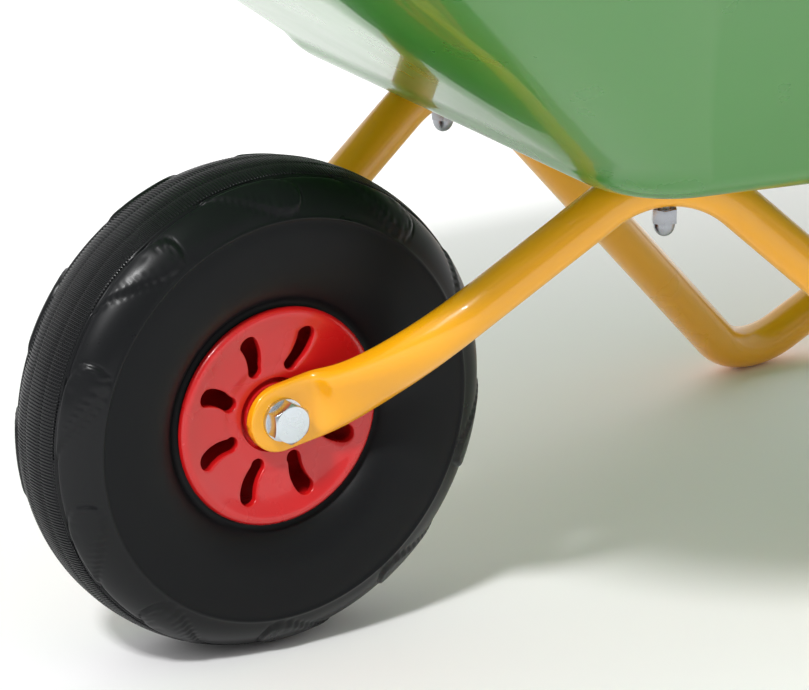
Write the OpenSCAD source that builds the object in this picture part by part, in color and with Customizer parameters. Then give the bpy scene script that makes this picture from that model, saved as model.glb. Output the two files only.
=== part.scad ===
// Child's metal wheelbarrow. The wheel is at -Y, the handles at +Y, +X is the user's left and +Z is up.
// Places are given from the point on the ground under the wheel's centre, then moved to the middle.

/* [Wheel] */
// Outside diameter of the tyre
tyre_d = 170; // [150:1:200]
// Width of the tyre
tyre_w = 50; // [46:1:58]
// Wall thickness of the hollow tyre
tyre_wall = 3; // [2:0.5:4]
// Diameter of the rim's lip
lip_d = 77; // [70:1:84]
// Distance between the outer faces of the two lips
lip_w = 39; // [36:1:42]
// Thickness of the rim's plastic
rim_t = 2.4; // [1.8:0.1:3]
// Slots around each rim half
slot_count = 8; // [4:1:10]
// Length of the hub between the fork's spacers
hub_w = 32; // [28:1:34]
// Outside diameter of the rim's hub boss
boss_d = 22; // [18:1:24]

/* [Axle] */
// Diameter of the axle bolt
axle_d = 8; // [6:1:10]
// Size of the axle's hexagons across the flats
axle_af = 13; // [12:1:17]
// Running clearance between the axle and the sleeve, on the radius
axle_clear = 0.06; // [0.03:0.01:0.1]
// Wall of the sleeve pressed into the hub
sleeve_wall = 2; // [1.5:0.5:3]
// Width of the flattened tube end around the axle
tab_w = 24; // [20:1:28]
// Thickness of the flattened tube end
tab_t = 3.5; // [2.5:0.5:5]

/* [Frame tubes] */
// Outside diameter of the tubes
tube_d = 16; // [14:0.5:19]
// Wall thickness of the tubes
tube_wall = 1.5; // [1:0.25:2]
// Radius of the bend under the front of the tray
top_bend_r = 39; // [32:1:42]
// Radius of the bend at the foot
foot_bend_r = 30; // [26:1:36]
// Radius of the bends behind the foot
rear_bend_r = 36; // [30:1:42]
// Distance behind the axle at which the foot stands
foot_y = 301; // [290:1:320]
// Distance of the foot from the middle
foot_x = 136; // [125:1:145]
// Distance behind the axle of the handle's end
handle_y = 715; // [690:5:780]
// Distance of the handle's end from the middle
handle_x = 198; // [185:1:215]
// Height of the handle's end
handle_z = 312; // [290:5:360]
// Length of the grips
grip_len = 105; // [85:5:125]
// Diameter of the grips
grip_d = 24; // [22:0.5:28]

/* [Tray] */
// Thickness of the tray's sheet
sheet = 1; // [0.8:0.1:2]
// Height from the tray's floor to its rolled edge
tray_h = 118; // [100:1:140]
// Diameter of the rolled edge
bead_d = 9; // [7:0.5:12]
// Half the width of the tray's mouth
mouth_x = 212; // [195:1:225]
// Distance of the mouth's front edge ahead of the axle
mouth_front = 74; // [60:1:80]
// Radius of the mouth's front corners, seen from above
mouth_corner = 125; // [100:1:135]
// Distance of the mouth's rear edge behind the axle
mouth_rear = 530; // [515:5:550]
// Radius between the floor and the walls
floor_fillet = 24; // [16:1:30]

/* [Tray bolts] */
// Diameter of the tray bolts
bolt_d = 5; // [4:1:6]
// Outside diameter of the washers under the bolt heads
washer_d = 14; // [12:1:16]
// Size of the cap nuts across the flats
cap_af = 8; // [7:1:10]
// Height of the cap nuts
cap_h = 10; // [9:0.5:13]

/* [Hidden] */
$fn = 48;

gap = 0.3;               // clearance between pieces that don't touch
fit = 0.05;              // clearance of threads and of pressed pieces, on the radius
hole_play = 0.25;        // clearance of a bolt in its hole, on the radius
tube_r = tube_d / 2;
tyre_r = tyre_d / 2;
axle_r = axle_d / 2;
bolt_r = bolt_d / 2;

// Places across the wheel, from the middle outwards
spacer_x = hub_w / 2 + gap;
tab_x = spacer_x + 1.2;
axle_washer_x = tab_x + tab_t;
axle_washer_t = 1.6;
axle_head_x = axle_washer_x + axle_washer_t;
axle_head_h = 5.3;
axle_nut_h = 8;

// Places along the left tube: the crushed end, then each corner of its path
tab_dir = [0, 0.986, 0.165];
fork_start = [54, 56, tyre_r + 39.3];
top_corner = [68.8, 125, tyre_r + 86.4];
handle_end = [handle_x, handle_y, handle_z];

function unit(v) = v / norm(v);
function span(a, b, c) = acos(unit(b - a) * unit(c - b));
function setback(a, b, c, r) = r * tan(span(a, b, c) / 2);
function inward(a, b, c) = unit(unit(c - b) - unit(b - a) * (unit(b - a) * unit(c - b)));
function bend_start(a, b, c, r) = b - unit(b - a) * setback(a, b, c, r);
function bend_end(a, b, c, r) = b + unit(c - b) * setback(a, b, c, r);
function bend_middle(a, b, c, r) = bend_start(a, b, c, r) + inward(a, b, c) * r;
// The point of a bend that is furthest up (side = 1) or down (side = -1)
function steepest(n) = unit([0, 0, 1] - n * n[2]);
function bend_peak(a, b, c, r, side) =
    bend_middle(a, b, c, r) + side * r * steepest(unit(cross(b - a, c - b)));
function heel(z) = [foot_x - 4, foot_y + 52, z + 28];
// Sink the foot's corner until the bend just touches the ground
function foot_corner(z, tries) =
    tries == 0 ? [foot_x, foot_y, z]
    : foot_corner(z + tube_r - bend_peak(top_corner, [foot_x, foot_y, z],
        heel(z), foot_bend_r, -1)[2], tries - 1);

// The front bend's highest point carries the tray, and the rear of the tube is level with it
foot = foot_corner(0, 8);
front_seat = bend_peak(fork_start, top_corner, foot, top_bend_r, 1);
rear_low = [foot_x + 14, foot_y + 124, front_seat[2]];
rear_high = rear_low + [1, 52, 0];
rear_seat = rear_low + [0.6, 31, 0];
path = [fork_start, top_corner, foot, heel(foot[2]), rear_low, rear_high, handle_end];
radii = [0, top_bend_r, foot_bend_r, rear_bend_r, rear_bend_r, rear_bend_r, 0];

handle_dir = unit(handle_end - rear_high);
grip_cap = 4;
grip_tip = handle_end + handle_dir * grip_cap;
end_y = grip_tip[1] + grip_d / 2 * sqrt(1 - handle_dir[1] * handle_dir[1]);
middle_y = (end_y - tyre_r) / 2;

floor_z = front_seat[2] + tube_r + gap;

module place() translate([0, -middle_y, 0]) children();
module mirrored(left) mirror([left ? 0 : 1, 0, 0]) children();
module along(point, dir)
    translate(point) rotate([0, acos(dir[2]), atan2(dir[1], dir[0])]) children();

// ---- tubes ----

tube_sides = 24;
bend_rings = 8;
crush_rings = 9;
tab_centre = [tab_x + tab_t / 2, 0, tyre_r];
tab_root = tab_centre + tab_dir * 12;
tube_dir = unit(top_corner - fork_start);

// The crushed part follows a curve from the flat end to the round tube
function ease(t) = t <= 0 ? 0 : t * t * (3 - 2 * t);
function curve(t) = let (b = tab_centre + tab_dir * 30, c = fork_start - tube_dir * 32, u = 1 - t)
    tab_root * u * u * u + b * 3 * u * u * t + c * 3 * u * t * t + fork_start * t * t * t;
function curve_dir(t) = unit(curve(min(t + 0.01, 1)) - curve(max(t - 0.01, 0)));

// One ring around a point: w is the way ahead, k goes from 0 for flat to 1 for round
function tube_ring(point, w, k, inset, flat_r = tab_w / 2) =
    let (u = unit([1, 0, 0] - w * w[0]), v = cross(w, u),
        thick = tab_t / 2 + (tube_r - tab_t / 2) * k,
        wide = flat_r + (tube_r - flat_r) * k, power = 0.35 + 0.65 * k)
    [for (i = [0 : tube_sides - 1]) let (a = -i * 360 / tube_sides, ca = cos(a), sa = sin(a))
        point + u * (thick - inset) * sign(ca) * pow(abs(ca), power)
            + v * (wide - inset) * sign(sa) * pow(abs(sa), power)];

function bend_ring(i, step, inset) = let (a = path[i - 1], b = path[i], c = path[i + 1], r = radii[i],
    o = bend_middle(a, b, c, r), out = -inward(a, b, c), w = unit(b - a),
    turn = span(a, b, c) * step / bend_rings)
    tube_ring(o + r * (out * cos(turn) + w * sin(turn)), w * cos(turn) - out * sin(turn), 1, inset);
function round_rings(inset) = concat([tube_ring(fork_start, tube_dir, 1, inset)],
    [for (i = [1 : len(path) - 2], step = [0 : bend_rings]) bend_ring(i, step, inset)],
    [tube_ring(handle_end, handle_dir, 1, inset)]);
// The flat end's round nose, then the flat and crushed length
nose = [for (a = [15 : 15 : 90])
    tube_ring(tab_centre - tab_dir * tab_w / 2 * cos(a), tab_dir, 0, 0, tab_w / 2 * sin(a))];
crush = [for (k = [0 : crush_rings - 1]) let (t = k / crush_rings)
    tube_ring(curve(t), curve_dir(t), ease((t - 0.1) / 0.9), 0)];

function reversed(list) = [for (i = [len(list) - 1 : -1 : 0]) list[i]];
// Faces of a stack of rings, closed at both ends
function stack_faces(rings, n) = concat(
    [[for (i = [0 : n - 1]) i]],
    [for (k = [0 : rings - 2], i = [0 : n - 1]) [k * n + i, (k + 1) * n + i, k * n + (i + 1) % n]],
    [for (k = [0 : rings - 2], i = [0 : n - 1])
        [(k + 1) * n + i, (k + 1) * n + (i + 1) % n, k * n + (i + 1) % n]],
    [[for (i = [n - 1 : -1 : 0]) (rings - 1) * n + i]]);

// The outside runs from the flat end to the handle, and the bore runs back to the crushed part
module bent_tube() {
    rings = concat(nose, crush, round_rings(0), reversed(round_rings(tube_wall)));
    polyhedron([for (r = rings) each r], stack_faces(len(rings), tube_sides));
}

module bolt_hole(seat) translate([seat[0], seat[1], seat[2] - tube_d])
    cylinder(r = bolt_r + hole_play, h = 3 * tube_d);

module frame_tube(left) color("goldenrod") place() mirrored(left) difference() {
    bent_tube();
    bolt_hole(front_seat);
    bolt_hole(rear_seat);
    translate([0, 0, tyre_r]) rotate([0, 90, 0]) cylinder(r = axle_r + hole_play, h = 4 * tab_x);
}

module grip(left) color("black") place() mirrored(left)
    along(grip_tip, -handle_dir) difference() {
        rotate_extrude() polygon([[0, 0], [grip_d / 2 - 2, 0], [grip_d / 2, 2],
            for (k = [0 : 3]) each [[grip_d / 2, 12 + 20 * k], [grip_d / 2 - 1.5, 16 + 20 * k],
                [grip_d / 2 - 1.5, 24 + 20 * k], [grip_d / 2, 28 + 20 * k]],
            [grip_d / 2, grip_len - 5], [grip_d / 2 + 1, grip_len - 4], [grip_d / 2 + 1, grip_len],
            [0, grip_len]]);
        translate([0, 0, grip_cap]) cylinder(r = tube_r + fit, h = grip_len);
    }

// ---- wheel ----

module across() translate([0, 0, tyre_r]) rotate([0, 90, 0]) children();
module on_side(left) place() mirrored(left) across() children();

bead_x = lip_w / 2 - rim_t + 0.2;
channel_r = lip_d / 2 - 2.4;
section_r = (tyre_r - channel_r) / 2;
section_points = 40;

// Outline of the tyre's section: a circle drawn out towards its corners
function bulge(a, wide, high) =
    [tyre_r - section_r + high * sign(sin(a)) * pow(abs(sin(a)), 0.82),
        wide * sign(cos(a)) * pow(abs(cos(a)), 0.82)];

// Points of the section from one bead round the tread to the other
function section_arc(inset, edge) = [for (k = [0 : section_points])
    bulge(-edge + (180 + 2 * edge) * k / section_points, tyre_w / 2 - inset, section_r - inset)];
bead_w = tyre_wall + 1;

module tyre() color("black") place() across() rotate_extrude() polygon(concat(
    [[channel_r, bead_x - bead_w], [channel_r, bead_x], [channel_r + 3, bead_x]],
    section_arc(0, 52),
    [[channel_r + 3, -bead_x], [channel_r, -bead_x], [channel_r, bead_w - bead_x]],
    reversed(section_arc(tyre_wall, 48))));

// One curved slot of the dish, wider towards the lip
slot_in = boss_d / 2 + 7.5;
slot_out = channel_r - 7;
module slot(turn) rotate(turn) translate([0, 0, -1]) {
    translate([slot_out, 0, 0]) cylinder(d = 6.8, h = lip_w);
    translate([slot_in, 0, 0]) cylinder(d = 5, h = lip_w);
    translate([slot_in, -2.5, 0]) cube([slot_out - slot_in, 5, lip_w]);
}

dish_x = hub_w / 2 - 0.5;

module rim(left) color("crimson") on_side(left) difference() {
    rotate_extrude() {
        // the hub boss
        translate([axle_r + axle_clear + sleeve_wall + fit, 0])
            square([boss_d / 2 - axle_r - axle_clear - sleeve_wall - fit, hub_w / 2]);
        // the dish and the rounded lip
        polygon([[boss_d / 2 - 1, dish_x - rim_t], [boss_d / 2 + 5, dish_x - rim_t],
            [channel_r - 1, lip_w / 2 - 1.8 - rim_t], [channel_r - rim_t, 0], [channel_r, 0],
            [channel_r, bead_x + 0.1], [lip_d / 2, bead_x + 0.1], [lip_d / 2, lip_w / 2 - 0.9],
            [lip_d / 2 - 0.9, lip_w / 2], [lip_d / 2 - 2.6, lip_w / 2], [channel_r - 2.5, lip_w / 2 - 1.4],
            [boss_d / 2 + 5, dish_x], [boss_d / 2 - 1, dish_x]]);
    }
    for (i = [0 : slot_count - 1]) slot((i + 0.5) * 360 / slot_count);
}

module hub_sleeve() color("white") place() across() difference() {
    cylinder(r = axle_r + axle_clear + sleeve_wall, h = hub_w, center = true);
    cylinder(r = axle_r + axle_clear, h = hub_w + 1, center = true);
}

// ---- axle ----

module ring(r_out, r_in, from, to) difference() {
    translate([0, 0, from]) cylinder(r = r_out, h = to - from);
    translate([0, 0, from - 1]) cylinder(r = r_in, h = to - from + 2);
}

module hexagon(af, from, to) translate([0, 0, from]) rotate(30)
    cylinder(d = af / cos(30), h = to - from, $fn = 6);

module axle_bolt() color("silver") on_side(true) {
    intersection() {
        hexagon(axle_af, axle_head_x, axle_head_x + axle_head_h);
        translate([0, 0, axle_head_x]) cylinder(r1 = axle_af, r2 = axle_af * 0.49, h = axle_head_h);
    }
    nut_face = -axle_head_x - axle_nut_h;
    translate([0, 0, nut_face - 2]) cylinder(r = axle_r, h = axle_head_x - nut_face + 2);
}

module axle_lock_nut() color("silver") on_side(false) difference() {
    union() {
        hexagon(axle_af, axle_head_x, axle_head_x + axle_nut_h - 2);
        translate([0, 0, axle_head_x]) cylinder(d = axle_af - 2, h = axle_nut_h);
    }
    cylinder(r = axle_r + fit, h = 2 * axle_head_x);
}

module axle_washer(left) color("silver") on_side(left)
    ring(axle_af / 2 + 1, axle_r + hole_play, axle_washer_x, axle_head_x);

module axle_spacer(left) color("white") on_side(left)
    ring(axle_r + 4, axle_r + hole_play, spacer_x, tab_x);

// ---- tray ----

// An outline of the tray is set by its front and rear corner circles: [x, y, radius]
outline_steps = 12;
foot_front = [84, 110, 44];
foot_rear = [rear_low[0] - 4, foot_y + 145, 44];
mouth_front_circle = [mouth_x - mouth_corner - 5, mouth_corner - mouth_front, mouth_corner];
mouth_rear_circle = [mouth_x - 70, mouth_rear - 70, 70];

function side_angle(a, b) =
    let (d = [b[0] - a[0], b[1] - a[1]])
    atan2(d[1], d[0]) - 90 + asin((a[2] - b[2]) / norm(d));
function arc(c, from, to, grow) = [for (k = [0 : outline_steps])
    let (a = from + (to - from) * k / outline_steps)
    [c[0] + (c[2] + grow) * cos(a), c[1] + (c[2] + grow) * sin(a)]];
function half_outline(a, b, grow) = concat(arc(a, -90, side_angle(a, b), grow),
    arc(b, side_angle(a, b), 90, grow));
function outline(a, b, grow) = let (h = half_outline(a, b, grow), n = len(h))
    concat(h, [for (i = [n - 1 : -1 : 0]) [-h[i][0], h[i][1]]]);
// One ring of the sheet: t goes from the floor's outline to the mouth's
function tray_ring(t, grow, z) = [for (p = outline(
    foot_front * (1 - t) + mouth_front_circle * t,
    foot_rear * (1 - t) + mouth_rear_circle * t, grow)) [p[0], p[1], z]];

fillet_steps = 5;
function fillet_rings(inset) = [for (k = [0 : fillet_steps]) let (a = k * 58 / fillet_steps)
    [0, (floor_fillet - inset) * sin(a) - floor_fillet, floor_fillet - (floor_fillet - inset) * cos(a)]];
wall_foot = floor_fillet * (1 - cos(58));
function wall_rings(inset, from) = [for (k = [from : 4])
    [k / 4, -floor_fillet * (1 - sin(58)) * (1 - k / 4) - inset,
        wall_foot + (tray_h - wall_foot) * k / 4]];
// The edge is rolled outwards into a bead around its upper end
bead_rings = [for (a = [-60 : 30 : 210]) [1, bead_d / 2 * (1 + cos(a)) - sheet / 2,
    tray_h + bead_d / 2 * sin(a)]];
tray_profile = concat(fillet_rings(0), wall_rings(0, 1), bead_rings,
    reversed(wall_rings(sheet, 1)), reversed(fillet_rings(sheet)));

module tray_sheet() {
    rings = [for (p = tray_profile) tray_ring(p[0], p[1], floor_z + p[2])];
    n = len(rings[0]);
    polyhedron([for (r = rings) each r], stack_faces(len(rings), n));
}

module tray() color("forestgreen") place() difference() {
    tray_sheet();
    for (left = [true, false], seat = [front_seat, rear_seat]) mirrored(left) bolt_hole(seat);
}

// ---- fasteners of the tray ----

washer_t = 1;
head_h = 3;
washer_z = floor_z + sheet;
head_z = washer_z + washer_t;
cap_z = front_seat[2] - tube_r - 0.6;

module at_seat(left, front) place() mirrored(left)
    translate(front ? [front_seat[0], front_seat[1], 0] : [rear_seat[0], rear_seat[1], 0]) children();

module bolt(left, front) color("silver") at_seat(left, front) {
    translate([0, 0, head_z]) rotate_extrude()
        polygon([[0, 0], [bolt_d, 0], [bolt_d, 1], [bolt_d - 1, 2.4], [bolt_d - 2.4, head_h],
            [0, head_h]]);
    translate([0, 0, cap_z - cap_h * 0.6]) cylinder(r = bolt_r, h = head_z - cap_z + cap_h * 0.6);
}

module washer(left, front) color("silver") at_seat(left, front)
    ring(washer_d / 2, bolt_r + hole_play, washer_z, head_z);

module cap_nut(left, front) color("silver") at_seat(left, front) difference() {
    union() {
        hexagon(cap_af, cap_z - cap_h * 0.5, cap_z);
        translate([0, 0, cap_z - cap_h]) rotate_extrude() polygon(concat([[0, 0]],
            [for (a = [15 : 15 : 90]) [cap_af * 0.47 * sin(a), cap_h * 0.45 * (1 - cos(a))]],
            [[cap_af * 0.47, cap_h * 0.6], [0, cap_h * 0.6]]));
    }
    translate([0, 0, cap_z - cap_h * 0.65]) cylinder(r = bolt_r + fit, h = cap_h);
}

tray();
frame_tube(true);  // frame_tube_left
frame_tube(false);  // frame_tube_right
grip(true);  // grip_left
grip(false);  // grip_right
axle_bolt();
axle_lock_nut();
axle_washer(true);  // axle_washer_left
axle_washer(false);  // axle_washer_right
axle_spacer(true);  // axle_spacer_left
axle_spacer(false);  // axle_spacer_right
tyre();
rim(true);  // rim_left
rim(false);  // rim_right
hub_sleeve();
for (left = [true, false], front = [true, false]) {
    corner = str(front ? "front" : "rear", left ? "_left" : "_right");
    bolt(left, front);
    washer(left, front);
    cap_nut(left, front);
}
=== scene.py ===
"""A child's metal wheelbarrow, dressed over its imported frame.

Sizes are metres, the wheel is at -Y, the handles at +Y and +Z is up.
"""
import math

import bmesh
import bpy
import numpy as np
from mathutils import Matrix, Vector


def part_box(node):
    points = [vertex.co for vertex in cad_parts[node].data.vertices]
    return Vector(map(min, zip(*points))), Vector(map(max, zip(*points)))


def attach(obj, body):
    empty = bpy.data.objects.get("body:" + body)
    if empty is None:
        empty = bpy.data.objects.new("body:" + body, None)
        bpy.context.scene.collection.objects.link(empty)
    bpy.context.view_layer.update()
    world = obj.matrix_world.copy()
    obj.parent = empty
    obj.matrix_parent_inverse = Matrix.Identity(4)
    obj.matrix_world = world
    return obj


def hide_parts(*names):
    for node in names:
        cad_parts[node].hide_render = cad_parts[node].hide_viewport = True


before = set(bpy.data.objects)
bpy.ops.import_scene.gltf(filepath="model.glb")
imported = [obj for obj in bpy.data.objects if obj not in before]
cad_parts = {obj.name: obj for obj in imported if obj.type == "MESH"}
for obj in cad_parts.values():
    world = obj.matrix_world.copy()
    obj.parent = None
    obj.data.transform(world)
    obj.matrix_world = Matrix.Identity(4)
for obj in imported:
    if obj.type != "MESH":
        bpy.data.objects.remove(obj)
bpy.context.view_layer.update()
MM = 0.001

# ---- Camera and studio -------------------------------------------------------------------------
# A long lens looks at the wheel from two metres away, from the front left and slightly above.
# The room is a white sweep: even white light all round, a key from the front left, and two soft boxes.
hub_low, hub_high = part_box("hub_sleeve")
wheel = (hub_low + hub_high) / 2
eye = wheel + Vector((1.6253, -0.9731, 0.6902))
turn, dip, roll = 0.567, 0.34, 0.006
ahead = Vector((-math.cos(turn) * math.cos(dip), math.sin(turn) * math.cos(dip), -math.sin(dip)))
side = ahead.cross(Vector((0, 0, 1))).normalized()
over = side.cross(ahead)
right = side * math.cos(roll) + over * math.sin(roll)
up = over * math.cos(roll) - side * math.sin(roll)
camera = bpy.data.objects.new("camera", bpy.data.cameras.new("camera"))
camera.data.lens = 264.9
camera.data.sensor_width = 36
camera.data.clip_start, camera.data.clip_end = 0.1, 100
camera.matrix_world = Matrix((right, up, -ahead)).transposed().to_4x4()
camera.location = eye
bpy.context.scene.collection.objects.link(camera)
bpy.context.scene.camera = camera
bpy.context.scene.view_settings.view_transform = "Standard"


def lamp(name, kind, place, aim, energy, **settings):
    """A light at a place, turned to face a point."""
    light = bpy.data.lights.new(name, kind)
    light.energy = energy
    for key, value in settings.items():
        setattr(light, key, value)
    holder = bpy.data.objects.new(name, light)
    holder.location = place
    holder.rotation_mode = "QUATERNION"
    holder.rotation_quaternion = (Vector(aim) - Vector(place)).to_track_quat("-Z", "Y")
    bpy.context.scene.collection.objects.link(holder)


lamp("key", "SUN", (1.35, -2.22, 3.0), (0, 0, 0), 2.0, angle=math.radians(7))
lamp("soft_box_left", "AREA", (0.9, -2.6, 1.9), (0, -0.3, 0.1), 9, shape="RECTANGLE", size=0.7, size_y=1.1)
lamp("soft_box_over", "AREA", (0.5, 0.4, 2.4), (0, -0.1, 0.1), 7, shape="RECTANGLE", size=1.3, size_y=0.7)

# The room is bright above and behind the object and darker on the side that it is seen from
world = bpy.data.worlds.new("room")
world.use_nodes = True
room = world.node_tree
heading = room.nodes.new("ShaderNodeTexCoord")
toward = room.nodes.new("ShaderNodeVectorMath")
toward.operation = "DOT_PRODUCT"
toward.inputs[1].default_value = (-0.55, 0.33, 0.77)
shade = room.nodes.new("ShaderNodeMapRange")
for socket, value in zip(shade.inputs[1:5], (-1.0, 1.0, 0.0, 1.08)):
    socket.default_value = value
room.links.new(heading.outputs["Generated"], toward.inputs[0])
room.links.new(toward.outputs["Value"], shade.inputs[0])
room.links.new(shade.outputs[0], room.nodes["Background"].inputs["Strength"])
room.nodes["Background"].inputs["Color"].default_value = (1, 1, 1, 1)
bpy.context.scene.world = world


def finish_of(name, colour, rough, metal=0.0, coat=0.0, coat_rough=0.03):
    """A painted or moulded surface. Its even numbers are set on the shader itself."""
    material = bpy.data.materials.new(name)
    material.use_nodes = True
    shader = material.node_tree.nodes["Principled BSDF"]
    shader.inputs["Base Color"].default_value = (*colour, 1)
    shader.inputs["Roughness"].default_value = rough
    shader.inputs["Metallic"].default_value = metal
    shader.inputs["Coat Weight"].default_value = coat
    shader.inputs["Coat Roughness"].default_value = coat_rough
    return material


def add(material, kind, **settings):
    """A new node of that kind in a material, with its inputs and properties set by name."""
    node = material.node_tree.nodes.new(kind)
    for key, value in settings.items():
        if hasattr(node, key):
            setattr(node, key, value)
        else:
            node.inputs[key.replace("_", " ")].default_value = value
    return node


def wire(material, *pairs):
    """Joins (node, output) to (node, input), pair by pair."""
    for (a, out), (b, into) in pairs:
        material.node_tree.links.new(a.outputs[out], b.inputs[into])


floor_mesh = bpy.data.meshes.new("floor")
floor_mesh.from_pydata([(-30, -30, 0), (30, -30, 0), (30, 30, 0), (-30, 30, 0)], [], [(0, 1, 2, 3)])
floor_mesh.materials.append(finish_of("white_sweep", (0.95, 0.945, 0.95), 0.9))
floor = bpy.data.objects.new("floor", floor_mesh)
bpy.context.scene.collection.objects.link(floor)


# ---- Tray --------------------------------------------------------------------------------------
# The tray is one deep-drawn sheet of steel, green powder coat inside and out. Its mouth is wide and
# rounded at the front, and the edge is rolled outwards over a wire into a bead.
def put(name, points, faces, *finishes):
    """A smooth mesh object at the origin from plain points and faces, with its faces outwards."""
    mesh = bpy.data.meshes.new(name)
    mesh.from_pydata([tuple(p) for p in points], [], faces)
    shape = bmesh.new()
    shape.from_mesh(mesh)
    bmesh.ops.remove_doubles(shape, verts=shape.verts, dist=1e-6)
    bmesh.ops.recalc_face_normals(shape, faces=shape.faces)
    shape.to_mesh(mesh)
    shape.free()
    for material in finishes:
        mesh.materials.append(material)
    mesh.polygons.foreach_set("use_smooth", [True] * len(mesh.polygons))
    piece = bpy.data.objects.new(name, mesh)
    bpy.context.scene.collection.objects.link(piece)
    return piece


def stack(rings):
    """Points and faces of a skin over a stack of equal rings, closed at both ends by a fan."""
    count = len(rings[0])
    points = [p for ring in rings for p in ring]
    faces = []
    for k in range(len(rings) - 1):
        for i in range(count):
            j = (i + 1) % count
            faces.append((k * count + i, k * count + j, (k + 1) * count + j, (k + 1) * count + i))
    for k in (0, len(rings) - 1):
        middle = sum((Vector(p) for p in rings[k]), Vector()) / count
        points.append(middle)
        for i in range(count):
            faces.append((k * count + i, k * count + (i + 1) % count, len(points) - 1))
    return points, faces


tray_low, tray_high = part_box("tray")
sheet = 1 * MM
bead = 4.5 * MM
fillet = 24 * MM
fillet_turn = 58
tray_height = tray_high.z - tray_low.z - bead
axle_y = wheel.y
floor_circles = ((84, 110, 44), (146, 446, 44))
mouth_circles = ((82, 51, 125), (142, 460, 70))


def outline(t, grow, steps=36):
    """The tray's plan at height share t, between the floor's corner circles and the mouth's.

    It is moved outwards by the distance grow.
    """
    front, rear = (np.array(a) * (1 - t) + np.array(b) * t for a, b in zip(floor_circles, mouth_circles))
    front, rear = front * MM, rear * MM
    way = rear[:2] - front[:2]
    tilt = math.atan2(way[1], way[0]) - math.pi / 2 + math.asin((front[2] - rear[2]) / math.hypot(*way))
    half = []
    for circle, start, end in ((front, -math.pi / 2, tilt), (rear, tilt, math.pi / 2)):
        for k in range(steps + 1):
            a = start + (end - start) * k / steps
            half.append((circle[0] + (circle[2] + grow) * math.cos(a),
                         circle[1] + (circle[2] + grow) * math.sin(a) + axle_y))
    return half + [(-x, y) for x, y in reversed(half)]


def tray_levels(inset):
    """(share, growth, height) up the fillet and the wall of one face of the sheet."""
    bend = math.radians(fillet_turn)
    levels = [(0, (fillet - inset) * math.sin(bend * k / 10) - fillet,
               fillet - (fillet - inset) * math.cos(bend * k / 10)) for k in range(11)]
    rise = fillet * (1 - math.cos(bend))
    for k in range(1, 17):
        share = k / 16
        levels.append((share, -fillet * (1 - math.sin(bend)) * (1 - share) - inset,
                       rise + (tray_height - rise) * share))
    return levels


def powder_coat(name, colour, deeper, coat_rough):
    """Gloss powder paint: a fine ripple in its skin, uneven shine and a faint drift of colour."""
    material = finish_of(name, colour, 0.3, coat=0.5, coat_rough=coat_rough)
    shader = material.node_tree.nodes["Principled BSDF"]
    where = add(material, "ShaderNodeTexCoord")
    ripple = add(material, "ShaderNodeTexNoise", Scale=380, Detail=2)
    bump = add(material, "ShaderNodeBump", Strength=0.2, Distance=0.00004)
    shine = add(material, "ShaderNodeTexNoise", Scale=24, Detail=5)
    spread = add(material, "ShaderNodeMapRange", To_Min=0.22, To_Max=0.36)
    drift = add(material, "ShaderNodeTexNoise", Scale=7, Detail=3)
    tones = add(material, "ShaderNodeMix", data_type="RGBA")
    for socket in tones.inputs:
        if socket.type == "RGBA":
            socket.default_value = (*(colour if socket.name == "A" else deeper), 1)
    wire(material, ((where, "Object"), (ripple, "Vector")), ((where, "Object"), (shine, "Vector")),
         ((where, "Object"), (drift, "Vector")), ((ripple, "Fac"), (bump, "Height")),
         ((bump, "Normal"), (shader, "Normal")), ((shine, "Fac"), (spread, "Value")),
         ((spread, "Result"), (shader, "Roughness")), ((drift, "Fac"), (tones, "Factor")))
    material.node_tree.links.new(tones.outputs[2], shader.inputs["Base Color"])
    return material


powder_green = powder_coat("powder_green", (0.042, 0.235, 0.028), (0.036, 0.21, 0.024), 0.015)
# Up the outer face, round the bead from below to the inside, and down the inner face
bead_start, bead_step, bead_points = -60, 15, 19
profile = list(tray_levels(0))
for k in range(bead_points):
    a = math.radians(bead_start + bead_step * k)
    profile.append((1, bead * (1 + math.cos(a)) - sheet / 2, tray_height + bead * math.sin(a)))
profile += list(reversed(tray_levels(sheet)))
tray_rings = [[(x, y, tray_low.z + z) for x, y in outline(t, grow)] for t, grow, z in profile]
tray = put("tray_sheet", *stack(tray_rings), powder_green)
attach(tray, "frame")
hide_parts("tray")


# ---- Frame tubes -------------------------------------------------------------------------------
# Each side is one length of steel tube, crushed flat for the axle and bent under the tray's front, at the
# foot, behind it, and at the tray's rear, where it runs out to the handle. Yellow powder coat.
tube = 8 * MM
fork_start = Vector((54, 56, 124.3)) * MM
top_corner = Vector((68.8, 125, 171.4)) * MM
handle_end = Vector((198, 715, 312)) * MM
tab_way = Vector((0, 0.986, 0.165)).normalized()
tab_half = 12 * MM
tab_thick = 1.75 * MM


def bend_centre(a, b, c, radius):
    """Where the bend at corner b starts, its middle, and the ways into and out of it."""
    inward, outward = (b - a).normalized(), (c - b).normalized()
    start = b - inward * radius * math.tan(inward.angle(outward) / 2)
    return inward, outward, start + (outward - inward * inward.dot(outward)).normalized() * radius


def bend_extreme(a, b, c, radius, way):
    """The point of a bend that is furthest up (way 1) or down (way -1)."""
    inward, outward, centre = bend_centre(a, b, c, radius)
    normal = inward.cross(outward).normalized()
    return centre + (Vector((0, 0, 1)) - normal * normal.z).normalized() * radius * way


def heel(z):
    """The corner behind the foot, where the tube turns up towards the tray's rear."""
    return Vector((0.132, 0.353, z + 0.028))


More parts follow.
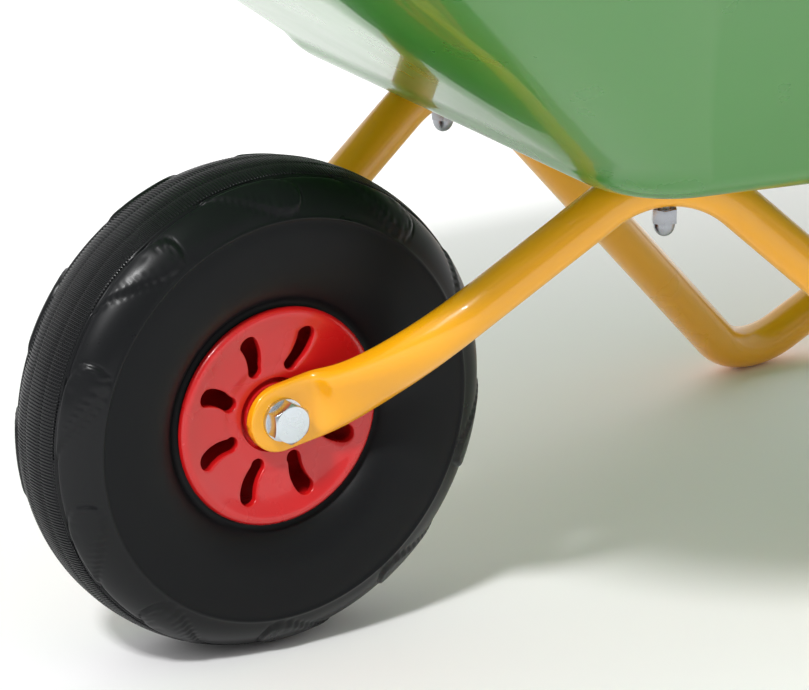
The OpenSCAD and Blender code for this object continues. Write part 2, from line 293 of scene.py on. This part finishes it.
# The foot's corner is lowered step by step until the bend just stands on the ground
foot = Vector((0.136, 0.301, 0))
for _ in range(8):
    foot.z += tube - bend_extreme(top_corner, foot, heel(foot.z), 0.030, -1).z
front_seat = bend_extreme(fork_start, top_corner, foot, 0.039, 1)
rear_low = Vector((0.150, 0.425, front_seat.z))
rear_high = rear_low + Vector((0.001, 0.052, 0))
corners = [fork_start, top_corner, foot, heel(foot.z), rear_low, rear_high, handle_end]
bend_radii = [0, 0.039, 0.030, 0.036, 0.036, 0.036]
tab_centre = Vector((hub_high.x + 3.25 * MM, 0, wheel.z))
handle_way = (handle_end - rear_high).normalized()


def tube_path():
    """(point, heading, roundness, flat half width) from the nose of the flat end to the handle."""
    tube_way = (top_corner - fork_start).normalized()
    for k in range(1, 13):
        a = math.radians(7.5 * k)
        yield tab_centre - tab_way * tab_half * math.cos(a), tab_way, 0.0, tab_half * math.sin(a)
    root = tab_centre + tab_way * tab_half
    b, c = tab_centre + tab_way * 0.030, fork_start - tube_way * 0.032
    for k in range(1, 8):
        yield tab_centre + tab_way * tab_half * k / 8, tab_way, 0.0, tab_half
    for k in range(48):
        t = k / 48
        u = 1 - t
        point = root * u ** 3 + b * 3 * u * u * t + c * 3 * u * t * t + fork_start * t ** 3
        way = (b - root) * u * u + (c - b) * 2 * u * t + (fork_start - c) * t * t
        s = max(0, (t - 0.1) / 0.9)
        yield point, way.normalized(), s * s * (3 - 2 * s), tab_half
    for i in range(1, len(corners) - 1):
        a, b, c = corners[i - 1:i + 2]
        inward, outward, centre = bend_centre(a, b, c, bend_radii[i])
        out = (outward - inward * inward.dot(outward)).normalized()
        for k in range(25):
            t = inward.angle(outward) * k / 24
            yield (centre - out * bend_radii[i] * math.cos(t) + inward * bend_radii[i] * math.sin(t),
                   inward * math.cos(t) + out * math.sin(t), 1.0, tube)
    yield handle_end, handle_way, 1.0, tube


def tube_rings(sides=64):
    """Rings along the tube. Past the flat round the bolt the outer wall swells, and has a small dent."""
    swell_start, swell_run, swell_rise = 12.5 * MM, 9 * MM, 3.0
    dent_size, dent_depth = 4.5 * MM, 0.9
    dimple = tab_centre + tab_way * 15 * MM + Vector((0, 0, 4 * MM))
    for point, way, roundness, flat in tube_path():
        across = (Vector((1, 0, 0)) - way * way.x).normalized()
        along = way.cross(across)
        thick = tab_thick + (tube - tab_thick) * roundness
        wide = flat + (tube - flat) * roundness
        power = 0.35 + 0.65 * roundness
        ring = []
        for i in range(sides):
            a = -2 * math.pi * i / sides
            ca, sa = math.cos(a), math.sin(a)
            spot = (point + across * thick * math.copysign(abs(ca) ** power, ca)
                    + along * wide * math.copysign(abs(sa) ** power, sa))
            if ca > 0 and roundness < 1:
                past = 0
                if way.dot(point - tab_centre) > 0:
                    past = min(1, max(0, (spot - tab_centre).length - swell_start) / swell_run)
                swell = past * past * (3 - 2 * past) * (1 - roundness) ** 1.5 * (1 - sa * sa)
                dent = math.exp(-((spot - dimple).length / dent_size) ** 2)
                spot += across * (swell_rise * swell - dent_depth * dent) * MM
            ring.append(spot)
        yield ring


powder_yellow = powder_coat("powder_yellow", (0.98, 0.44, 0.004), (0.94, 0.41, 0.003), 0.03)
for name, sign in (("left", 1), ("right", -1)):
    rings = [[Vector((p.x * sign, p.y + axle_y, p.z)) for p in ring] for ring in tube_rings()]
    piece = put(f"painted_tube_{name}", *stack(rings), powder_yellow)
    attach(piece, "frame")
    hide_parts(f"frame_tube_{name}")


# ---- Bolts, washers and nuts --------------------------------------------------------------------
# Zinc-plated steel. Four bolts hold the tray on the tubes, with wide washers inside and cap nuts below;
# one long bolt with a lock nut is the axle. Every turned edge is broken a little.
def plated(name, colour, ringed=False):
    """Bright zinc plate: cloudy shine, a slight tint that drifts, and turning marks on a turned face."""
    material = finish_of(name, colour, 0.25, metal=1.0)
    shader = material.node_tree.nodes["Principled BSDF"]
    where = add(material, "ShaderNodeTexCoord")
    cloud = add(material, "ShaderNodeTexNoise", Scale=160, Detail=6)
    spread = add(material, "ShaderNodeMapRange", To_Min=0.16, To_Max=0.42)
    tint = add(material, "ShaderNodeValToRGB")
    tint.color_ramp.elements[0].color = (*(c * 0.86 for c in colour), 1)
    tint.color_ramp.elements[1].color = (min(1, colour[0] * 1.04), min(1, colour[1] * 1.05),
                                         colour[2] * 1.1, 1)
    bump = add(material, "ShaderNodeBump", Strength=0.3, Distance=0.00003)
    wire(material, ((where, "Object"), (cloud, "Vector")), ((cloud, "Fac"), (spread, "Value")),
         ((spread, "Result"), (shader, "Roughness")), ((cloud, "Fac"), (tint, "Fac")),
         ((tint, "Color"), (shader, "Base Color")), ((bump, "Normal"), (shader, "Normal")))
    if ringed:
        centre = add(material, "ShaderNodeMapping", Location=(0, -axle_y, -wheel.z))
        marks = add(material, "ShaderNodeTexWave", wave_type="RINGS", rings_direction="X", Scale=190,
                    Distortion=1.5, Detail=2)
        wire(material, ((where, "Object"), (centre, "Vector")), ((centre, "Vector"), (marks, "Vector")),
             ((marks, "Fac"), (bump, "Height")))
    else:
        scuff = add(material, "ShaderNodeTexNoise", Scale=900, Detail=3)
        wire(material, ((where, "Object"), (scuff, "Vector")), ((scuff, "Fac"), (bump, "Height")))
    return material


def machined(names, ending, width, finish, body, turned=0):
    """Replaces CAD nodes by copies with broken edges, turned about the axle by an angle in degrees."""
    for name in names:
        shape = bmesh.new()
        shape.from_mesh(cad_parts[name].data)
        turning = Matrix.Rotation(math.radians(turned), 3, "X")
        bmesh.ops.rotate(shape, cent=wheel, matrix=turning, verts=shape.verts)
        bmesh.ops.remove_doubles(shape, verts=shape.verts, dist=2e-6)
        bmesh.ops.dissolve_limit(shape, angle_limit=math.radians(0.6), verts=shape.verts, edges=shape.edges)
        crisp = [edge for edge in shape.edges
                 if len(edge.link_faces) == 2 and edge.calc_face_angle(0) > math.radians(24)]
        bmesh.ops.bevel(shape, geom=crisp, offset=width, segments=2, profile=0.6, affect="EDGES",
                        clamp_overlap=True)
        for edge in shape.edges:
            edge.smooth = len(edge.link_faces) < 2 or edge.calc_face_angle(0) < math.radians(32)
        for face in shape.faces:
            face.smooth = True
        mesh = bpy.data.meshes.new(f"{name}_{ending}")
        shape.to_mesh(mesh)
        shape.free()
        mesh.materials.append(finish)
        piece = bpy.data.objects.new(mesh.name, mesh)
        bpy.context.scene.collection.objects.link(piece)
        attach(piece, body)
        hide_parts(name)


zinc = plated("zinc_plate", (0.66, 0.68, 0.70))
zinc_turned = plated("zinc_turned", (0.70, 0.74, 0.77), ringed=True)
places = [f"{end}_{hand}" for end in ("front", "rear") for hand in ("left", "right")]
machined([f"{kind}_{place}" for kind in ("bolt", "washer") for place in places],
         "plated", 0.22 * MM, zinc, "frame")
# The cap nuts under the tray get a darker copy of the zinc plate: painted shade for the shade they sit in
# below the tray
machined([f"cap_nut_{place}" for place in places], "plated", 0.22 * MM,
         plated("zinc_painted_shade", (0.36, 0.37, 0.39)), "frame")
machined(["axle_bolt"], "plated", 0.3 * MM, zinc_turned, "frame", turned=30)
machined(["axle_lock_nut", "axle_washer_left", "axle_washer_right"], "plated", 0.25 * MM,
         zinc, "frame")

nylon_white = finish_of("nylon_white", (0.78, 0.78, 0.75), 0.45)
grain = add(nylon_white, "ShaderNodeTexNoise", Scale=700, Detail=3)
grain_place = add(nylon_white, "ShaderNodeTexCoord")
grain_bump = add(nylon_white, "ShaderNodeBump", Strength=0.3, Distance=0.00003)
wire(nylon_white, ((grain_place, "Object"), (grain, "Vector")), ((grain, "Fac"), (grain_bump, "Height")),
     ((grain_bump, "Normal"), (nylon_white.node_tree.nodes["Principled BSDF"], "Normal")))
machined(["axle_spacer_left", "axle_spacer_right"], "moulded", 0.2 * MM, nylon_white, "frame")
machined(["hub_sleeve"], "moulded", 0.25 * MM, nylon_white, "wheel")


# ---- Tyre --------------------------------------------------------------------------------------
# The tyre is blow-moulded black plastic, hollow and half gloss. A finely ribbed band runs round the middle,
# ten leaf-shaped lugs stand on each shoulder, and a thin ridge parts the shoulder from the sidewall.
def moulded_black(name, low, high, pebble, gleam):
    """Black plastic with fine pores, whose roughness drifts between low and high."""
    material = finish_of(name, (0.008, 0.0085, 0.0095), 0.35)
    shader = material.node_tree.nodes["Principled BSDF"]
    shader.inputs["Specular IOR Level"].default_value = gleam
    where = add(material, "ShaderNodeTexCoord")
    haze = add(material, "ShaderNodeTexNoise", Scale=60, Detail=6)
    spread = add(material, "ShaderNodeMapRange", To_Min=low, To_Max=high)
    pores = add(material, "ShaderNodeTexNoise", Scale=1400, Detail=2)
    bump = add(material, "ShaderNodeBump", Strength=pebble, Distance=0.00004)
    wire(material, ((where, "Object"), (haze, "Vector")), ((haze, "Fac"), (spread, "Value")),
         ((spread, "Result"), (shader, "Roughness")), ((where, "Object"), (pores, "Vector")),
         ((pores, "Fac"), (bump, "Height")), ((bump, "Normal"), (shader, "Normal")))
    return material


tyre_gloss = moulded_black("tyre_gloss", 0.24, 0.34, 0.15, 0.2)
tyre_dull = moulded_black("tyre_dull", 0.36, 0.5, 0.45, 0.12)
tyre_low, tyre_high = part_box("tyre")
tyre_radius = (tyre_high.z - tyre_low.z) / 2
tyre_half = (tyre_high.x - tyre_low.x) / 2
bead_radius = 36.1 * MM
section_radius = (tyre_radius - bead_radius) / 2
lug_count = 10
band_edge = 12.2 * MM
seam_place = 4.6 * MM
tread_floor = 62 * MM

# The section from bead to bead, as (x, radius)
squareness = 0.82
section_start, section_turn, section_steps = -54, 288, 2000
raw = []
for k in range(section_steps + 1):
    a = math.radians(section_start + section_turn * k / section_steps)
    x = tyre_half * math.copysign(abs(math.cos(a)) ** squareness, math.cos(a))
    raw.append((x, tyre_radius - section_radius + section_radius
                * math.copysign(abs(math.sin(a)) ** squareness, math.sin(a))))
bead_x, bead_at = 17.2 * MM, 37.4 * MM
raw = np.array([(bead_x, bead_at)] + raw + [(-bead_x, bead_at)])
run = np.concatenate(([0], np.cumsum(np.hypot(*np.diff(raw, axis=0).T))))
section_rows = 128
turn_steps = 720
ridge_radius = 70.5 * MM
# Rows lie closer together where the ridge, the band's edges and its seams are
detail = np.ones(len(raw))
for spot in (band_edge, band_edge + 1.2 * MM, seam_place):
    detail += 3.5 * np.exp(-((np.abs(raw[:, 0]) - spot) / (0.9 * MM)) ** 2) * (raw[:, 1] > 0.06)
detail += 4 * np.exp(-((raw[:, 1] - ridge_radius) / (0.9 * MM)) ** 2)
crowd = np.concatenate(([0], np.cumsum(np.diff(run) * detail[1:])))
spaced = np.interp(np.linspace(0, crowd[-1], section_rows), crowd, run)
section = np.column_stack([np.interp(spaced, run, raw[:, i]) for i in (0, 1)])
slope = np.gradient(section, spaced, axis=0)
normal = np.column_stack([slope[:, 1], -slope[:, 0]])
normal /= np.linalg.norm(normal, axis=1)[:, None]
if normal[section_rows // 2, 1] < 0:
    normal = -normal
crown = spaced - run[-1] / 2

# A lug's outline: (distance from the middle, degrees behind its round head), smoothed
lug_outline = [(12.6, 24), (14.6, 20.5), (17.6, 17), (20.4, 12.5), (22.2, 8), (22.8, 4), (22.0, 1.0),
               (19.8, 0), (17.2, 0.6), (15.2, 2.6), (13.6, 6), (12.8, 11)]


def smooth_loop(points, steps=8):
    """A closed curve through points."""
    count, loop = len(points), []
    for i in range(count):
        p = [np.array(points[(i + k - 1) % count], float) for k in range(4)]
        for k in range(steps):
            t = k / steps
            loop.append(0.5 * (2 * p[1] + (p[2] - p[0]) * t + (2 * p[0] - 5 * p[1] + 4 * p[2] - p[3]) * t * t
                               + (3 * p[1] - p[0] - 3 * p[2] + p[3]) * t ** 3))
    return np.array(loop)


def loop_distance(points, loop):
    """Distance from each point to a closed loop, negative inside it."""
    a, b = loop, np.roll(loop, -1, axis=0)
    gap = b - a
    rel = points[:, None, :] - a[None]
    share = np.clip((rel * gap).sum(2) / (gap * gap).sum(1), 0, 1)
    far = np.linalg.norm(rel - share[..., None] * gap, axis=2).min(1)
    above = (a[None, :, 1] > points[:, None, 1]) != (b[None, :, 1] > points[:, None, 1])
    fall = np.where(gap[:, 1] == 0, 1e-12, gap[:, 1])
    cross = a[:, 0] + (points[:, None, 1] - a[:, 1]) * gap[:, 0] / fall
    inside = (above & (points[:, None, 0] < cross)).sum(1) % 2 == 1
    return np.where(inside, -far, far)


# Lug outline in surface lengths: run from the crown, and way round at the shoulder's radius
shoulder = 79 * MM
shoulder_rows = np.where((crown >= 0) & (section[:, 1] > tread_floor))[0]
loop = smooth_loop([(np.interp(x * MM, np.abs(section[shoulder_rows, 0]), crown[shoulder_rows]),
                     math.radians(-a) * shoulder) for x, a in lug_outline])
pitch = 2 * math.pi / lug_count
angles = np.linspace(0, 2 * math.pi, turn_steps, endpoint=False)
relief = np.zeros((section_rows, turn_steps))
# The lugs of one shoulder stand half a pitch ahead of the other's
lug_head = math.radians(59.7)
lug_height, lug_groove, lug_inner_line = 0.75, 0.45, 0.3
for sign in (1, -1):
    rows = np.where((sign * crown > 9 * MM) & (sign * crown < 40 * MM))[0]
    head = lug_head + (0 if sign < 0 else pitch / 2)
    behind = (angles - head) % pitch
    behind = np.where(behind > pitch * 0.2, behind - pitch, behind)
    grid = np.stack(np.meshgrid(np.abs(crown[rows]), behind * shoulder, indexing="ij"), 2).reshape(-1, 2)
    far = loop_distance(grid, loop).reshape(len(rows), turn_steps)
    step = 1 / (1 + np.exp(far / (0.22 * MM)))
    groove = np.exp(-((far - 0.55 * MM) / (0.42 * MM)) ** 2)
    inner = np.exp(-((far + 2.4 * MM) / (0.34 * MM)) ** 2)
    relief[rows] += (lug_height * step - lug_groove * groove - lug_inner_line * inner) * MM
band = 1 / (1 + np.exp((np.abs(section[:, 0]) - band_edge) / (0.12 * MM)))
channel = np.exp(-((np.abs(section[:, 0]) - band_edge - 0.9 * MM) / (0.6 * MM)) ** 2)
seam = np.exp(-((np.abs(section[:, 0]) - seam_place) / (0.35 * MM)) ** 2)
upper = section[:, 1] > tread_floor
band_depth, channel_depth, seam_depth = 0.45, 0.9, 0.3
relief += ((-band_depth * band - channel_depth * channel - seam_depth * seam) * MM * upper)[:, None]
inside_ridge = 1 / (1 + np.exp((section[:, 1] - ridge_radius) / (0.3 * MM)))
ridge = np.exp(-((section[:, 1] - ridge_radius - 0.3 * MM) / (0.45 * MM)) ** 2)
ridge_height, sidewall_depth, relief_limit = 0.45, 0.5, 0.7 * MM
relief += ((ridge_height * ridge - sidewall_depth * inside_ridge) * MM)[:, None]
relief = np.minimum(relief, relief_limit)
relief[[0, -1]] = 0
radius = section[:, 1][:, None] + relief * normal[:, 1][:, None]
across = section[:, 0][:, None] + relief * normal[:, 0][:, None]
across = np.clip(across, -tyre_half + 0.05 * MM, tyre_half - 0.05 * MM)
points = np.stack([across, axle_y - radius * np.cos(angles), wheel.z + radius * np.sin(angles)], 2)
points = points.reshape(-1, 3)
faces, dull = [], []
for k in range(section_rows - 1):
    for i in range(turn_steps):
        j = (i + 1) % turn_steps
        faces.append((k * turn_steps + i, k * turn_steps + j,
                      (k + 1) * turn_steps + j, (k + 1) * turn_steps + i))
        dull.append(section[k, 1] < ridge_radius)
# The bead turns in under the rim's lip and back along the channel
channel_radius, channel_x = 36.2 * MM, 13 * MM
ends = []
for k, sign in ((0, 1), (section_rows - 1, -1)):
    start = len(points)
    points = np.vstack([points, np.column_stack([
        np.full(turn_steps, sign * channel_x), axle_y - channel_radius * np.cos(angles),
        wheel.z + channel_radius * np.sin(angles)])])
    for i in range(turn_steps):
        j = (i + 1) % turn_steps
        faces.append((k * turn_steps + i, k * turn_steps + j, start + j, start + i))
    ends.append(start)
for i in range(turn_steps):
    j = (i + 1) % turn_steps
    faces.append((ends[0] + i, ends[0] + j, ends[1] + j, ends[1] + i))
dull += [True] * (len(faces) - len(dull))
tyre = put("tyre_carcass", points, faces, tyre_gloss, tyre_dull)
tyre.data.polygons.foreach_set("material_index", [int(d) for d in dull])
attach(tyre, "wheel")
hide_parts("tyre")


def repeat_round(name, unit, count, material, weld=0.0):
    """Repeats a unit about the axle with geometry nodes, and gives back one plain mesh object."""
    tree = bpy.data.node_groups.new(name, "GeometryNodeTree")
    tree.interface.new_socket("Geometry", in_out="INPUT", socket_type="NodeSocketGeometry")
    copies = tree.interface.new_socket("Count", in_out="INPUT", socket_type="NodeSocketInt")
    middle = tree.interface.new_socket("Axle", in_out="INPUT", socket_type="NodeSocketVector")
    tree.interface.new_socket("Geometry", in_out="OUTPUT", socket_type="NodeSocketGeometry")
    new = tree.nodes.new
    inlet, outlet = new("NodeGroupInput"), new("NodeGroupOutput")
    line, seat = new("GeometryNodeMeshLine"), new("GeometryNodeInstanceOnPoints")
    index = new("GeometryNodeInputIndex")
    share, angle, spin = new("ShaderNodeMath"), new("ShaderNodeMath"), new("ShaderNodeCombineXYZ")
    real, shift = new("GeometryNodeRealizeInstances"), new("GeometryNodeTransform")
    dress = new("GeometryNodeSetMaterial")
    line.inputs["Offset"].default_value = (0, 0, 0)
    share.operation, angle.operation = "DIVIDE", "MULTIPLY"
    angle.inputs[1].default_value = 2 * math.pi
    dress.inputs["Material"].default_value = material
    link = tree.links.new
    link(inlet.outputs["Count"], line.inputs["Count"])
    link(line.outputs["Mesh"], seat.inputs["Points"])
    link(inlet.outputs["Geometry"], seat.inputs["Instance"])
    link(index.outputs[0], share.inputs[0])
    link(inlet.outputs["Count"], share.inputs[1])
    link(share.outputs[0], angle.inputs[0])
    link(angle.outputs[0], spin.inputs["X"])
    link(spin.outputs[0], seat.inputs["Rotation"])
    link(seat.outputs["Instances"], shift.inputs["Geometry"])
    link(inlet.outputs["Axle"], shift.inputs["Translation"])
    link(shift.outputs["Geometry"], real.inputs["Geometry"])
    link(real.outputs["Geometry"], dress.inputs["Geometry"])
    link(dress.outputs["Geometry"], outlet.inputs["Geometry"])
    modifier = unit.modifiers.new(name, "NODES")
    modifier.node_group = tree
    modifier[copies.identifier] = count
    modifier[middle.identifier] = (0.0, axle_y, wheel.z)
    unit.update_tag()
    graph = bpy.context.evaluated_depsgraph_get()
    mesh = bpy.data.meshes.new_from_object(unit.evaluated_get(graph))
    unit.modifiers.remove(modifier)
    bpy.data.objects.remove(unit)
    mesh.name = name
    if weld:
        shape = bmesh.new()
        shape.from_mesh(mesh)
        bmesh.ops.remove_doubles(shape, verts=shape.verts, dist=weld)
        bmesh.ops.recalc_face_normals(shape, faces=shape.faces)
        shape.to_mesh(mesh)
        shape.free()
    mesh.polygons.foreach_set("use_smooth", [True] * len(mesh.polygons))
    piece = bpy.data.objects.new(name, mesh)
    bpy.context.scene.collection.objects.link(piece)
    return piece


# Fine ribs across the band, 1.2 mm apart
rib_count = 444
rib_end = band_edge - 0.3 * MM
rib_rows = np.where((section[:, 0] < rib_end) & (section[:, 0] > -rib_end) & upper)[0]
rib_points, rib_faces = [], []
picks = rib_rows[np.linspace(0, len(rib_rows) - 1, 13).astype(int)]
for k in picks:
    x, r = section[k]
    low = r - 0.62 * MM
    crest = r - (0.32 * MM if abs(abs(x) - seam_place) < 0.8 * MM else 0.04 * MM)
    for t, h in ((-0.42, low), (-0.16, crest), (0.16, crest), (0.42, low)):
        rib_points.append((x, t * MM, h))
for k in range(len(picks) - 1):
    for i in range(3):
        rib_faces.append((4 * k + i, 4 * k + i + 1, 4 * k + i + 5, 4 * k + i + 4))
rib_faces += [(0, 1, 2, 3), tuple(4 * (len(picks) - 1) + i for i in (3, 2, 1, 0))]
rib_faces += [(4 * k, 4 * k + 4, 4 * k + 7, 4 * k + 3) for k in range(len(picks) - 1)]
ribs = repeat_round("tread_ribs", put("rib", rib_points, rib_faces, tyre_gloss), rib_count, tyre_gloss)
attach(ribs, "wheel")


# ---- Rims --------------------------------------------------------------------------------------
# Two glossy red plastic halves meet in the middle of the wheel. Each has a boss for the axle's sleeve, a
# shallow dish with eight curved slots, and a rounded lip over the tyre's edge.
def moulded_red():
    """Glossy red plastic with a slow drift of tone and shine from the way it flowed."""
    material = finish_of("moulded_red", (0.62, 0.008, 0.010), 0.26, coat=0.35, coat_rough=0.02)
    shader = material.node_tree.nodes["Principled BSDF"]
    where = add(material, "ShaderNodeTexCoord")
    flow = add(material, "ShaderNodeTexNoise", Scale=45, Detail=4)
    spread = add(material, "ShaderNodeMapRange", To_Min=0.2, To_Max=0.34)
    bump = add(material, "ShaderNodeBump", Strength=0.12, Distance=0.0001)
    tone = add(material, "ShaderNodeValToRGB")
    tone.color_ramp.elements[0].color = (0.56, 0.007, 0.009, 1)
    tone.color_ramp.elements[1].color = (0.66, 0.009, 0.011, 1)
    wire(material, ((where, "Object"), (flow, "Vector")), ((flow, "Fac"), (spread, "Value")),
         ((spread, "Result"), (shader, "Roughness")), ((flow, "Fac"), (bump, "Height")),
         ((bump, "Normal"), (shader, "Normal")), ((flow, "Fac"), (tone, "Fac")),
         ((tone, "Color"), (shader, "Base Color")))
    return material


rim_red = moulded_red()
# Rim sizes are in millimetres, and each curve is a list of (radius, distance from the wheel's middle)
rim_wall = 2.4
slot_count, slot_points = 8, 48
slot_ends = (15.9, 32.4)
slot_widths = (5.2, 6.6)
slot_slide = 0.55
sector_inner, sector_outer = 13.2, 33.6
dish_curve = [(11.2, 15.7), (13, 15.75), (16, 15.8), (18.6, 15.85), (19.4, 16.15), (20.2, 16.3),
              (24, 16.7), (28, 17.3), (31, 17.95), (33.6, 18.75)]
lip_curve = [(34.6, 19.1), (35.6, 19.4), (36.5, 19.5), (37.3, 19.35), (38.0, 18.85), (38.4, 18.1),
             (38.5, 17.5), (38.2, 17.4), (36.1, 17.4), (36.1, 0.0), (11.0, 0.0), (11.0, 1.6),
             (33.7, 1.6), (33.7, 16.35)]
boss_curve = [(11.1, 15.7), (10.7, 15.95), (10.2, 16.0), (6.5, 16.0), (6.12, 15.6), (6.12, 0.0),
              (11.0, 0.0), (11.0, 1.6), (11.2, 13.0)]


def dish_height(r):
    """The dish's outer face at a radius."""
    return float(np.interp(r, *zip(*dish_curve)))


def slot_edge(grow=0.0):
    """The slot's outline as (radius, sideways), from the inner end's corner, grown by a distance."""
    spine = []
    length = slot_ends[1] - slot_ends[0] - sum(slot_widths) / 2
    for k in range(17):
        out = slot_ends[0] + slot_widths[0] / 2 + length * k / 16
        sway = 0.5 - 0.9 * (2 * k / 16 - 1) ** 2 + 0.6 * (k / 16 - 0.5)
        spine.append((out, sway, slot_widths[0] / 2 + (slot_widths[1] - slot_widths[0]) / 2 * k / 16))
    edge = []
    for k in range(8):
        a = math.pi / 2 + math.pi * (k + 0.5) / 8
        r, t, w = spine[0]
        edge.append((r + (w + grow) * math.cos(a), t + (w + grow) * math.sin(a)))
    for r, t, w in spine[:16]:
        edge.append((r + slot_slide, t - w - grow))
    for k in range(8):
        a = -math.pi / 2 + math.pi * (k + 0.5) / 8
        r, t, w = spine[-1]
        edge.append((r + (w + grow) * math.cos(a), t + (w + grow) * math.sin(a)))
    for r, t, w in reversed(spine[:16]):
        edge.append((r + slot_slide, t + w + grow))
    return edge


def sector_edge():
    """The sector's border as (radius, angle): inner arc, one side, outer arc and the other side."""
    half = math.pi / slot_count
    edge = [(sector_inner, half - 2 * half * k / 8) for k in range(8)]
    edge += [(sector_inner + (sector_outer - sector_inner) * k / 16, -half) for k in range(16)]
    edge += [(sector_outer, -half + 2 * half * k / 8) for k in range(8)]
    edge += [(sector_outer - (sector_outer - sector_inner) * k / 16, half) for k in range(16)]
    return edge


def rim_sector(side):
    """One slot's share of a rim half, closed except where its neighbours join."""
    loops = []
    for grow, drop in ((0.0, rim_wall), (0.0, 0.4), (0.1, 0.13), (0.35, 0.0)):
        loops.append([(math.hypot(r, t), math.atan2(t, r), dish_height(math.hypot(r, t)) - drop)
                      for r, t in slot_edge(grow)])
    border = sector_edge()
    start = loops[-1]
    for k in range(1, 6):
        share = k / 5
        ring = [(r * (1 - share) + br * share, a * (1 - share) + ba * share)
                for (r, a, _), (br, ba) in zip(start, border)]
        loops.append([(r, a, dish_height(r)) for r, a in ring])
    under = [[(r, a, dish_height(r) - rim_wall) for r, a, _ in ring] for ring in loops[4:]]
    loops = list(reversed(under)) + loops
    points = [p for ring in loops for p in ring]
    faces = []
    for k in range(len(loops) - 1):
        for i in range(slot_points):
            j = (i + 1) % slot_points
            faces.append((k * slot_points + i, k * slot_points + j,
                          (k + 1) * slot_points + j, (k + 1) * slot_points + i))
    arc = [-math.pi / slot_count + 2 * math.pi / slot_count * k / 8 for k in range(9)]
    for curve in ([(sector_outer, dish_height(sector_outer))] + lip_curve
                  + [(sector_outer, dish_height(sector_outer) - rim_wall)],
                  [(sector_inner, dish_height(sector_inner))] + [(11.4, 11.0), (11.2, 11.2)] + boss_curve
                  + [(sector_inner, dish_height(sector_inner) - rim_wall)]):
        base = len(points)
        points += [(r, a, x) for r, x in curve for a in arc]
        faces += [(base + 9 * k + i, base + 9 * k + i + 1, base + 9 * k + i + 10, base + 9 * k + i + 9)
                  for k in range(len(curve) - 1) for i in range(8)]
    return [(side * x * MM, -r * math.cos(a) * MM, r * math.sin(a) * MM) for r, a, x in points], faces


for name, side in (("left", 1), ("right", -1)):
    unit = put(f"sector_{name}", *rim_sector(side), rim_red)
    # A slot of the left half lies 23 degrees above the way forward, and the right half's slots lie between
    unit.data.transform(Matrix.Rotation(math.radians(-23 if side > 0 else -0.5), 4, "X"))
    rim = repeat_round(f"rim_{name}_moulded", unit, slot_count, rim_red, weld=5e-6)
    shape = bmesh.new()
    shape.from_mesh(rim.data)
    for edge in shape.edges:
        if len(edge.link_faces) == 2 and edge.calc_face_angle(0) > math.radians(50):
            edge.smooth = False
    shape.to_mesh(rim.data)
    shape.free()
    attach(rim, "wheel")
    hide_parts(f"rim_{name}")


# ---- Grips -------------------------------------------------------------------------------------
# Soft black grips are pushed over the ends of the tubes. Each has a collar, rows of fine rings between
# four finger grooves, and a rounded end.
grip_rubber = finish_of("grip_rubber", (0.02, 0.02, 0.021), 0.6)
shader = grip_rubber.node_tree.nodes["Principled BSDF"]
where = add(grip_rubber, "ShaderNodeTexCoord")
leather = add(grip_rubber, "ShaderNodeTexVoronoi", Scale=900)
bump = add(grip_rubber, "ShaderNodeBump", Strength=0.5, Distance=0.0001)
dust = add(grip_rubber, "ShaderNodeTexNoise", Scale=90, Detail=5)
spread = add(grip_rubber, "ShaderNodeMapRange", To_Min=0.5, To_Max=0.72)
wire(grip_rubber, ((where, "Object"), (leather, "Vector")), ((leather, "Distance"), (bump, "Height")),
     ((bump, "Normal"), (shader, "Normal")), ((where, "Object"), (dust, "Vector")),
     ((dust, "Fac"), (spread, "Value")), ((spread, "Result"), (shader, "Roughness")))
grip_length, grip_radius = 105 * MM, 12 * MM
finger_depth, finger_spread = 1.5 * MM, 5.2 * MM
ring_depth, ring_pitch = 0.22 * MM, 2.6 * MM


def grip_profile():
    """(distance from the tip, radius) from the middle of the tip's disc to the tube's end of the collar."""
    yield from ((0, 10 * MM), (0.3 * MM, 10.25 * MM), (1.0 * MM, 10.95 * MM), (2 * MM, 11.7 * MM),
                (4 * MM, grip_radius))
    for k in range(1, 181):
        s = 5 * MM + 94 * MM * k / 180
        finger = 0
        for groove in range(4):
            finger += finger_depth * math.exp(-((s - (20 + 20 * groove) * MM) / finger_spread) ** 2)
        fine = ring_depth * (0.5 - 0.5 * math.cos(2 * math.pi * s / ring_pitch))
        yield s, grip_radius - 0.05 * MM - max(finger, fine)
    yield from ((100 * MM, grip_radius), (100.8 * MM, 12.7 * MM), (101.4 * MM, 12.95 * MM),
                (104 * MM, 12.95 * MM), (104.7 * MM, 12.7 * MM), (grip_length, 12.1 * MM),
                (grip_length, 8.1 * MM))


for name, sign in (("left", 1), ("right", -1)):
    tip = handle_end + handle_way * 4 * MM
    across = (Vector((1, 0, 0)) - handle_way * handle_way.x).normalized()
    along = handle_way.cross(across)
    rings = []
    for s, r in grip_profile():
        ring = []
        for i in range(64):
            a = 2 * math.pi * i / 64
            p = tip - handle_way * s + (across * math.cos(a) + along * math.sin(a)) * r
            ring.append(Vector((p.x * sign, p.y + axle_y, p.z)))
        rings.append(ring)
    grip = put(f"grip_{name}_rubber", *stack(rings), grip_rubber)
    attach(grip, "frame")
    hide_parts(f"grip_{name}")
